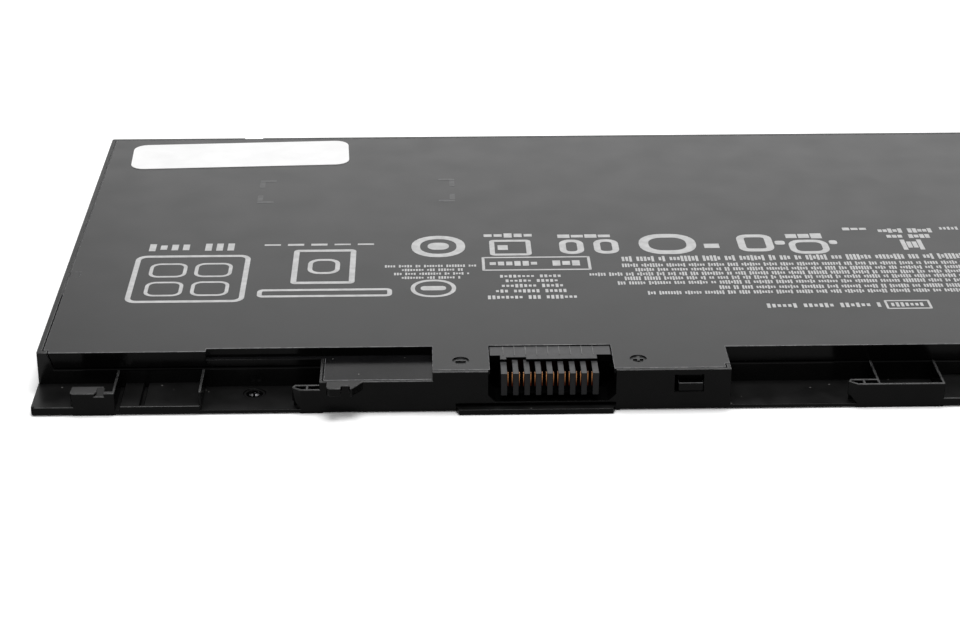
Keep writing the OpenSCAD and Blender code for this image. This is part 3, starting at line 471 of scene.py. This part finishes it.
# Polarity signs: round pockets in the tongue, with the sign left standing in them. A pocket's two materials
# are also the first two of the cover, in the same order, as the boolean keeps their numbers.
polarity = {"minus": (75.4, -4.9), "plus": (106.8, -4.8), "diameter": 3.0, "sides": 48, "depth": 0.22,
            "barLength": 1.8, "barWidth": 0.45, "barExtra": 0.1}
for sign in ("minus", "plus"):
    x, y = polarity[sign]
    deselectAll()
    bpy.ops.mesh.primitive_cylinder_add(
        vertices=polarity["sides"], radius=polarity["diameter"] / 2 * mm, depth=2 * polarity["depth"] * mm,
        location=onPanel(x, y))
    pocket = bpy.context.object
    bpy.ops.object.transform_apply(location=True, rotation=False, scale=False)
    long, wide = polarity["barLength"] / 2, polarity["barWidth"] / 2
    deep = polarity["depth"] + polarity["barExtra"]
    bars = [(long, wide)] if sign == "minus" else [(long, wide), (wide, long)]
    for across, along in bars:
        bar = addBlock(onPanel(x - across, y - along, -deep), onPanel(x + across, y + along, deep))
        cutAway(pocket, bar)
    for material in (panelSatin, shadedWallBlack):
        pocket.data.materials.append(material)
    # The pocket's upright walls take the walls' painted shade
    paintFaces(pocket, shadedWallBlack, lambda face: abs(face.normal.z) < facing)
    cutAway(topCover, pocket)
keepFlatsFlat(topCover)

# The case. Heights are mm above the underside, and lengths with a sign are mm behind the main front face.
caseLook = {
    "round": 0.14,
    "undersideHeight": 0.1,
    "seamFront": -0.3, "seamBack": 2.0, "seamDrop": 2.0,  # the front wall, from its drop below the top down
    "topHeights": (4.25, 4.7),  # of the ribs, hooks and brackets
    "floorHeight": 2.0, "lowEdgeHeight": 1.3, "edgeTurn": 0.2,
    "lipHeights": (0.6, 1.5), "lipGap": 0.2,  # gap in front of the tongue
    "baySide": 24, "bayHeight": 4.0, "bayBehind": 0.5,  # beside the comb, and behind the tongue's front
    "insideSide": 0.5, "insideBehind": 0.05, "insideDrop": 0.3}  # the same two, and below the top
bottomCase = mergedCopy("bottom_case", "bottomCase")
dressNode(bottomCase, "bottom_case",
          [shadedWallBlack, flangeBlack, highlightEdgeBlack, paintedShadeBlack, undersideSatin, paintedLitTop, litLipBlack])


# Main front wall with the seam in it
def besideSeam(face):
    place = inMm(face.center)
    return (caseLook["seamFront"] < place.y < caseLook["seamBack"]
            and place.z < caseTop - caseLook["seamDrop"])


# The lip below the bay, but not its lowest edge
def onLip(face):
    place = inMm(face.center)
    low, high = caseLook["lipHeights"]
    return place.y < tongueFront - caseLook["lipGap"] and low < place.z < high


# Front of the connector bay and of the latch window below the rim
def besideBay(face):
    place = inMm(face.center)
    return (combLow.x - caseLook["baySide"] < place.x < combHigh.x + caseLook["baySide"]
            and place.z < caseLook["bayHeight"] and place.y < tongueFront + caseLook["bayBehind"]
            and not onLip(face))


def insideBay(face):
    place = inMm(face.center)
    return (combLow.x - caseLook["insideSide"] < place.x < combHigh.x + caseLook["insideSide"]
            and tongueFront + caseLook["insideBehind"] < place.y < combHigh.y
            and place.z < caseTop - caseLook["insideDrop"])


# Tops of the ribs, hooks and brackets
def onTops(face):
    place = inMm(face.center)
    low, high = caseLook["topHeights"]
    return face.normal.z > facing and low < place.z < high and place.y < caseLook["seamFront"]


paintFaces(bottomCase, flangeBlack, lambda face: face.normal.z > facing)
paintFaces(bottomCase, undersideSatin, lambda face: face.normal.z < -facing
           and inMm(face.center).z < caseLook["undersideHeight"])
# Rounds that look up take the edges' painted highlight, the others the walls' painted shade
roundEdges(bottomCase, caseLook["round"], highlightEdgeBlack, shadedWallBlack, clamp=False)
# Tops of the ribs, hooks and brackets take the paler painted highlight
paintFaces(bottomCase, paintedLitTop, onTops, over=[flangeBlack])
# Edges of the bay, and those across the low floors, take the walls' painted shade instead of the painted
# highlight, as the light does not catch them; only their front edges keep it
paintFaces(bottomCase, shadedWallBlack, besideBay, over=[highlightEdgeBlack])
paintFaces(bottomCase, shadedWallBlack, lambda face: abs(face.normal.x) > caseLook["edgeTurn"]
           and inMm(face.center).z < caseLook["floorHeight"], over=[highlightEdgeBlack])
# The case wall below the seam and the lip take the painted sheen
paintFaces(bottomCase, litLipBlack, lambda face: face.normal.y < -facing and besideSeam(face), over=[shadedWallBlack])
paintFaces(bottomCase, litLipBlack, onLip, over=[shadedWallBlack, highlightEdgeBlack])
# Painted shade: no light reaches the inside of the bay or the seam, and the edges beside the seam and
# low along the floor take the walls' painted shade instead of the painted highlight
paintFaces(bottomCase, paintedShadeBlack, insideBay)
paintFaces(bottomCase, paintedShadeBlack, lambda face: face.normal.z > facing and besideSeam(face),
           over=[flangeBlack])
paintFaces(bottomCase, shadedWallBlack, lambda face: not onLip(face)
           and (besideSeam(face) or inMm(face.center).z < caseLook["lowEdgeHeight"]), over=[highlightEdgeBlack])

# Weld bead that nearly fills the seam along both sides and the back, and the pry slot's shallow bottom.
# The slot is left, front, right and back on the panel.
beadLook = {"rim": 0.95, "seam": 0.2, "start": 26, "depth": 1.0, "below": 0.05, "gap": 0.01, "round": 0.02,
            "prySlot": (1.21, 34.42, 3.04, 36.78), "pryDepth": 0.34}
rim, seam = beadLook["rim"] + beadLook["gap"], beadLook["seam"] - 2 * beadLook["gap"]
backEnd = panelDepth - rim - seam - 2 * beadLook["gap"]
beadStrips = (
    (rim, beadLook["start"], rim + seam, backEnd, beadLook["depth"]),
    (caseWide - rim - seam, beadLook["start"], caseWide - rim, backEnd, beadLook["depth"]),
    (rim, panelDepth - rim - seam, caseWide - rim, panelDepth - rim, beadLook["depth"]),
    (*beadLook["prySlot"], beadLook["pryDepth"]))
beads = []
for left, front, right, back, depth in beadStrips:
    beads.append(addBlock(onPanel(left, front, -depth), onPanel(right, back, -beadLook["below"])))
weldBead = joinPieces(beads, "weldBead")
dressNode(weldBead, None, [panelSatin])
roundEdges(weldBead, beadLook["round"], panelSatin, panelSatin)

# The comb. Drops are mm below its own top, and below the panel for the ridges on its top plate.
combLook = {"round": 0.1, "ribDrop": 3.2, "barBehind": 0.3, "barTurn": 0.3, "shoulderDrop": 1.6,
            "shoulderTurn": 0.5, "ridgeDrop": 0.19}
connectorHousing = mergedCopy("connector_housing", "connectorHousing")
dressNode(connectorHousing, "connector_housing",
          [combNylon, shadedCombNylon, paintedShadeBlack, paleRidgeHighlight])


# The low bars between the ribs lie in the dark, and take the painted shade
def onLowBars(face):
    place = inMm(face.center)
    return (place.z < combHigh.z - combLook["ribDrop"]
            and (place.y > combLow.y + combLook["barBehind"] or face.normal.z > combLook["barTurn"]))


# Upright faces of the comb take its painted shade, and the faces that look up its paler copy
paintFaces(connectorHousing, shadedCombNylon, lambda face: face.normal.z < facing)
roundEdges(connectorHousing, combLook["round"], combNylon, shadedCombNylon, clamp=False)
paintFaces(connectorHousing, paintedShadeBlack, onLowBars)
# The front faces of the top plate lie in the dark too and take the painted shade, while the ridges on it
# take the painted highlight
paintFaces(connectorHousing, paintedShadeBlack, lambda face: face.normal.y < -combLook["shoulderTurn"]
           and inMm(face.center).z > combHigh.z - combLook["shoulderDrop"])
paintFaces(connectorHousing, paleRidgeHighlight, lambda face: inMm(face.center).z > caseTop - combLook["ridgeDrop"])
print("mouldings rounded")

# Captive screws: raised middle with a cross recess, its sloped ring painted bright steel as painted glints
screwLook = {"middleRadius": 1.0, "slopeWidth": 0.4, "slopeRise": 0.24, "slopeTurns": (0.3, 0.95),
             "recessReach": 1.15, "recessWidth": 0.5, "recessDepth": 0.3, "topLayer": 0.01}
for nodeName, pieceName in (("captive_screw_left", "screwLeft"), ("captive_screw_right", "screwRight")):
    screw = mergedCopy(nodeName, pieceName)
    dressNode(screw, nodeName, [screwSteel, paintedGlintSteel])
    low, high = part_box(nodeName)
    centre = (low + high) / 2
    headRadius = (high.x - low.x) / 2
    bpy.ops.object.mode_set(mode="EDIT")
    bpy.ops.mesh.select_all(action="DESELECT")
    bpy.ops.object.mode_set(mode="OBJECT")
    for face in screw.data.polygons:
        face.select = face.normal.z > facing and face.center.z > high.z - screwLook["topLayer"] * mm
    bpy.ops.object.mode_set(mode="EDIT")
    bpy.ops.mesh.select_mode(type="FACE")
    bpy.ops.mesh.inset(thickness=headRadius - screwLook["middleRadius"] * mm, depth=0)
    bpy.ops.mesh.inset(thickness=screwLook["slopeWidth"] * mm, depth=screwLook["slopeRise"] * mm)
    bpy.ops.object.mode_set(mode="OBJECT")
    # Painted glints: the sloped ring round the recess takes the pale steel
    least, most = screwLook["slopeTurns"]
    paintFaces(screw, paintedGlintSteel, lambda face: least < face.normal.z < most)
    reach, half = screwLook["recessReach"] * mm, screwLook["recessWidth"] / 2 * mm
    bottom, top = high.z - screwLook["recessDepth"] * mm, high.z + mm
    for wide, deep in ((reach, half), (half, reach)):
        arm = addBlock(Vector((centre.x - wide, centre.y - deep, bottom)),
                       Vector((centre.x + wide, centre.y + deep, top)))
        cutAway(screw, arm)
    keepFlatsFlat(screw)
print("screws cut")

# Fork contacts: copper at the front of their tips, painted shade behind, below and on their sides, with
# slightly rounded edges
contactLook = {"count": 8, "round": 0.05, "tipDepth": 0.65, "tipHeight": 1.75}
for number in range(1, contactLook["count"] + 1):
    contact = mergedCopy(f"contact_{number}", f"forkContact{number}")
    dressNode(contact, f"contact_{number}", [contactCopper, shadedCopper])
    low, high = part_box(f"contact_{number}")
    tipBack = low.y + contactLook["tipDepth"] * mm
    tipFoot = high.z - contactLook["tipHeight"] * mm
    # Painted shade behind, below and on the sides of the tips
    paintFaces(contact, shadedCopper, lambda face: face.center.y > tipBack or face.center.z < tipFoot
               or abs(face.normal.x) > facing)
    roundEdges(contact, contactLook["round"], shadedCopper, shadedCopper)
print("contacts dressed")

# Hidden parts and the sticker keep their CAD shape and take their own finish
nodeFinishes = {
    "cell_tape": tissueTape, "cell_": pouchFoil, "positive_tab": tabMetal, "negative_tab": nickelStrip,
    "link_strip": nickelStrip, "end_strip": nickelStrip, "protection_board": boardLacquer,
    "gauge_chip": chipEpoxy, "charge_switch": chipEpoxy, "discharge_switch": chipEpoxy,
    "cutoff_fuse": fuseCeramic, "sense_resistor": chipEpoxy, "filter_capacitors": capacitorCeramic,
    "thermistor_leads": leadCopper, "thermistor": beadResin, "board_insulator": pressedPaper,
    "foam_pad": closedCellFoam, "blank_sticker": stickerPaper}
for nodeName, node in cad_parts.items():
    for start, finish in nodeFinishes.items():
        if nodeName.startswith(start):
            node.data.materials.clear()
            node.data.materials.append(finish)
            break
print("hidden parts finished")

# Printed panel marks: plain outlines and rows of small bars, a thin layer of ink sunk a little into the panel
inkLook = {"thickness": 0.02, "sink": 0.01, "cornerSegments": 6}
spaceAfter = {"first": (3, 8), "next": (3, 9)}  # fewest and most bars before a row's first space and the next
barShares = ((0, 1), (0.1, 0.9), (0.2, 0.8))  # shares of a row's height between which a bar stands
fineBars = (0.36, 0.18)  # mm of a small bar's width and of the gap beside it
printedPieces = []


def keepPrint(piece, ink):
    piece.data.materials.append(ink)
    printedPieces.append(piece)


# Outline with rounded corners: a plane with bevelled corners, inset to a ring as wide as line, or left whole
# where line is None, and given the ink's thickness
def printOutline(left, front, right, back, radius, line, ink=panelInk):
    deselectAll()
    middle = onPanel((left + right) / 2, (front + back) / 2, -inkLook["sink"])
    bpy.ops.mesh.primitive_plane_add(size=1, location=middle)
    piece = bpy.context.object
    piece.scale = ((right - left) * mm, (back - front) * mm, 1)
    bpy.ops.object.transform_apply(location=True, rotation=False, scale=True)
    bpy.ops.object.mode_set(mode="EDIT")
    bpy.ops.mesh.select_all(action="SELECT")
    bpy.ops.mesh.bevel(offset=radius * mm, segments=inkLook["cornerSegments"], affect="VERTICES")
    if line is not None:
        bpy.ops.mesh.select_all(action="SELECT")
        bpy.ops.mesh.inset(thickness=line * mm, depth=0)
        bpy.ops.mesh.delete(type="FACE")
    bpy.ops.mesh.select_all(action="SELECT")
    rise = (inkLook["thickness"] + inkLook["sink"]) * mm
    bpy.ops.mesh.extrude_region_move(TRANSFORM_OT_translate={"value": (0, 0, rise)})
    bpy.ops.mesh.select_all(action="SELECT")
    bpy.ops.mesh.normals_make_consistent(inside=False)
    bpy.ops.object.mode_set(mode="OBJECT")
    keepPrint(piece, ink)


# Row of bars, with a bar left out here and there
def printRow(left, right, middle, height, bars, seed):
    pick = random.Random(seed)
    barWide, gap = bars
    pitch = barWide + gap
    count = int((right - left) / pitch)
    low = onPanel(left, middle - height / 2, -inkLook["sink"])
    high = onPanel(left + barWide, middle + height / 2, inkLook["thickness"])
    piece = addBlock(low, high)
    bpy.ops.object.modifier_add(type="ARRAY")
    array = piece.modifiers[-1]
    array.count = count
    array.use_relative_offset = False
    array.use_constant_offset = True
    array.constant_offset_displace = (pitch * mm, 0, 0)
    applyModifiers(piece)
    leftOut = set()
    place = pick.randint(*spaceAfter["first"])
    while place < count - 1:
        leftOut.add(place)
        place += pick.randint(*spaceAfter["next"])
    bpy.ops.object.mode_set(mode="EDIT")
    bpy.ops.mesh.select_all(action="DESELECT")
    bpy.ops.object.mode_set(mode="OBJECT")
    shares = [pick.choice(barShares) for _ in range(count)]
    for vertex in piece.data.vertices:
        bar = vertex.index // 8  # a bar has eight corners
        vertex.select = bar in leftOut
        under, over = shares[bar]
        share = over if vertex.co.y > (low.y + high.y) / 2 else under
        vertex.co.y = low.y + share * (high.y - low.y)
    bpy.ops.object.mode_set(mode="EDIT")
    bpy.ops.mesh.delete(type="VERT")
    bpy.ops.object.mode_set(mode="OBJECT")
    keepPrint(piece, panelInk)


# Sizes in mm on the panel. An outline is left, front, right, back, corner radius and line width. A row is
# left, right, middle, height, the bars' width and gap, and the seed of its random draws.
panelMarks = {
    "framedGrid": {
        "outlines": (
            (13.0, 21.6, 35.3, 44.5, 2.2, 1.0),
            (16.2, 33.6, 23.4, 40.5, 2.0, 0.7), (24.9, 33.6, 32.1, 40.5, 2.0, 0.7),
            (16.2, 24.6, 23.4, 31.5, 2.0, 0.7), (24.9, 24.6, 32.1, 31.5, 2.0, 0.7)),
        "rows": ((15.0, 33.4, 48.6, 3.6, (1.3, 0.9), 4),)},
    "tallBoxOverBar": {
        "outlines": (
            (43.6, 29.8, 55.8, 46.8, 1.0, 1.1), (46.6, 34.6, 52.8, 42.0, 2.4, 0.9),
            (37.6, 23.6, 63.0, 27.4, 1.2, 0.9)),
        "rows": ((37.6, 63.2, 49.4, 1.2, (3.2, 1.4), 11),)},
    "twoRoundedMarks": {
        "outlines": (
            (66.6, 42.4, 77.2, 53.4, 5.0, 1.7), (69.8, 46.2, 74.0, 49.8, 1.6, None),
            (66.5, 23.0, 75.1, 31.3, 3.9, 0.8), (68.4, 26.2, 73.2, 28.2, 0.8, None)),
        "rows": (
            (61.5, 79.8, 38.0, 1.2, fineBars, 615), (64.8, 76.8, 36.1, 1.2, fineBars, 648),
            (63.3, 77.9, 34.2, 1.2, fineBars, 633), (64.8, 76.3, 32.3, 1.2, fineBars, 648))},
    "squareMark": {
        "outlines": ((82.0, 42.9, 90.2, 51.0, 1.0, 1.0),),
        "rows": ((83.6, 88.8, 47.0, 2.4, (2.0, 0.8), 2), (81.0, 91.2, 53.3, 2.2, (1.6, 0.4), 3))},
    "flatBox": {
        "outlines": ((80.3, 35.4, 101.4, 42.2, 0.3, 0.55),),
        "rows": (
            (81.8, 92.5, 38.9, 2.3, (1.2, 0.4), 9), (94.0, 100.4, 38.9, 3.2, (1.5, 0.4), 5),
            (83.6, 96.0, 32.6, 1.3, (0.55, 0.3), 228), (84.6, 95.4, 30.4, 1.3, (0.55, 0.3), 212),
            (83.8, 95.9, 28.0, 1.6, (0.55, 0.3), 196), (82.6, 96.9, 25.5, 1.5, (0.55, 0.3), 178),
            (81.0, 98.3, 22.6, 1.7, (0.55, 0.3), 158))},
    "twoOpenMarks": {
        "outlines": ((95.8, 43.4, 100.6, 50.8, 2.2, 1.3), (102.6, 43.4, 107.5, 50.8, 2.2, 1.3)),
        "rows": ((95.7, 107.4, 52.6, 2.2, (2.4, 0.3), 21),)},
    "longRoundedMarks": {
        "outlines": ((111.6, 42.9, 122.9, 53.3, 4.6, 1.9), (131.2, 43.8, 138.2, 52.6, 2.2, 1.5)),
        "rows": ((124.4, 131.0, 46.9, 2.2, (3.0, 0.3), 6),)},
    "smallMarkWithDots": {
        "outlines": (
            (141.2, 42.4, 149.0, 49.6, 2.6, 1.3), (138.6, 47.2, 140.6, 49.2, 0.6, None),
            (149.4, 47.2, 151.0, 49.2, 0.6, None)),
        "rows": ((141.2, 149.2, 51.6, 2.6, (2.2, 0.3), 8),)},
    "shortRows": {
        "outlines": (),
        "rows": (
            (153.2, 159.4, 55.1, 1.8, (1.4, 0.3), 12), (160.2, 172.0, 54.0, 2.2, (0.8, 0.2), 13),
            (161.4, 171.2, 51.0, 2.4, (0.9, 0.2), 14), (163.6, 168.0, 46.6, 5.2, (0.9, 0.2), 15),
            (172.8, 184.0, 55.0, 1.6, (0.5, 0.3), 16))},
    "mainBlock": {  # ended plainly past the photograph's edge
        "outlines": (),
        "rows": (
            (107.6, 236.0, 40.6, 2.7, (0.5, 0.22), 31), (107.4, 241.0, 37.4, 1.75, fineBars, 112),
            (109.8, 238.5, 35.2, 1.75, fineBars, 105), (100.8, 240.5, 33.1, 1.75, fineBars, 99),
            (107.4, 229.0, 31.0, 1.75, fineBars, 93), (105.9, 241.5, 28.8, 1.75, fineBars, 86),
            (125.0, 236.0, 26.3, 1.75, fineBars, 78), (111.2, 224.0, 24.0, 1.75, fineBars, 72))},
    "titleRow": {
        "outlines": ((154.9, 15.5, 163.4, 19.5, 0.3, 0.45),),
        "rows": ((132.8, 154.4, 17.5, 2.0, (0.62, 0.36), 40), (156.0, 162.6, 17.5, 1.9, (0.55, 0.35), 41))}}
for mark in panelMarks.values():
    for outline in mark["outlines"]:
        printOutline(*outline)
    for row in mark["rows"]:
        printRow(*row)

# Rubbed corner marks further back, each an angle of two short bars. The sides and ends are mm on the panel,
# each with the way in which its bars run.
cornerMark = {"sides": ((34.6, 1), (75.6, -1)), "ends": ((72.2, 1), (85.6, -1)), "reach": 3.4, "bar": 1.1,
              "gap": 0.1, "radius": 0.3}
reach, bar, gap = cornerMark["reach"], cornerMark["bar"], cornerMark["gap"]
for x, inward in cornerMark["sides"]:
    for y, towards in cornerMark["ends"]:
        left, right = sorted((x, x + reach * inward))
        front, back = sorted((y, y + bar * towards))
        printOutline(left, front, right, back, cornerMark["radius"], None, ink=rubbedInk)
        left, right = sorted((x, x + bar * inward))
        front, back = sorted((y + (bar + gap) * towards, y + (bar + reach) * towards))
        printOutline(left, front, right, back, cornerMark["radius"], None, ink=rubbedInk)
panelPrint = joinPieces(printedPieces, "panelPrint")
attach(panelPrint, "root")
print("panel marks printed")

# Pale floor and plain world, both white to the camera; the floor keeps the thin shadow under the pack
floorLook = {"size": 0.85, "color": 1.0, "cameraColor": 1.3}
deselectAll()
bpy.ops.mesh.primitive_plane_add(size=floorLook["size"], location=(0, 0, caseLow.z))
floor = bpy.context.object
floor.name = "floor"
floorWhite, tree, shader, coords = startMaterial("paleFloor", {"Roughness": 0.9, "Specular IOR Level": 0.0})
rays = addNode(tree, "ShaderNodeLightPath")
shade = addNode(tree, "ShaderNodeMix",
                {"data_type": "FLOAT", 2: floorLook["color"], 3: floorLook["cameraColor"]},
                {0: rays.outputs["Is Camera Ray"]})
tree.links.new(shade.outputs[0], shader.inputs["Base Color"])
floor.data.materials.append(floorWhite)

worldLook = {"light": 0.5, "cameraLight": 1.0}
world = bpy.data.worlds.new("plainWorld")
bpy.context.scene.world = world
world.use_nodes = True
tree = world.node_tree
tree.nodes.clear()
rays = addNode(tree, "ShaderNodeLightPath")
white = addNode(tree, "ShaderNodeMix",
                {"data_type": "FLOAT", 2: worldLook["light"], 3: worldLook["cameraLight"]},
                {0: rays.outputs["Is Camera Ray"]})
background = addNode(tree, "ShaderNodeBackground", {"Color": (1, 1, 1, 1)}, {"Strength": white.outputs[0]})
addNode(tree, "ShaderNodeOutputWorld", links={"Surface": background.outputs["Background"]})

# Studio lamps. The overhead box gives the even light and the glints on the rounded edges. The backdrop
# box, low behind the pack and set to the right, is what the satin panel shows as a soft sheen.
studioLamps = {
    "overheadBox": {"place": (0.0, 0.02, 0.9), "size": (0.5, 0.35), "power": 4.5},
    "backdropBox": {"place": (0.7, 2.5, 0.72), "size": (2.8, 0.85), "power": 7.7}}
for name, lampLook in studioLamps.items():
    lampData = bpy.data.lights.new(name, "AREA")
    lampData.shape = "RECTANGLE"
    lampData.size, lampData.size_y = lampLook["size"]
    lampData.energy = lampLook["power"]
    lamp = bpy.data.objects.new(name, lampData)
    lamp.location = lampLook["place"]
    lamp.rotation_euler = (-lamp.location).to_track_quat("-Z", "Y").to_euler()
    bpy.context.scene.collection.objects.link(lamp)

# Camera at the photograph's place, worked out for a 960 by 640 frame. Its place is mm on the panel.
cameraSetup = {"place": (69.63, -368.81, 171.86), "pitch": 24.262, "turn": -1.446, "roll": 0.019,
               "focalPixels": 2280.9, "frameWidth": 960, "sensor": 36.0, "clip": (0.01, 20)}
cameraData = bpy.data.cameras.new("photoCamera")
cameraData.sensor_width = cameraSetup["sensor"]
cameraData.lens = cameraSetup["focalPixels"] / cameraSetup["frameWidth"] * cameraSetup["sensor"]
cameraData.clip_start, cameraData.clip_end = cameraSetup["clip"]
camera = bpy.data.objects.new("photoCamera", cameraData)
bpy.context.scene.collection.objects.link(camera)
camera.matrix_world = (
    Matrix.Translation(onPanel(*cameraSetup["place"]))
    @ Matrix.Rotation(math.radians(cameraSetup["turn"]), 4, "Z")
    @ Matrix.Rotation(math.radians(90 - cameraSetup["pitch"]), 4, "X")
    @ Matrix.Rotation(math.radians(cameraSetup["roll"]), 4, "Z"))
bpy.context.scene.camera = camera
bpy.context.scene.view_settings.view_transform = "Standard"
print("camera set")
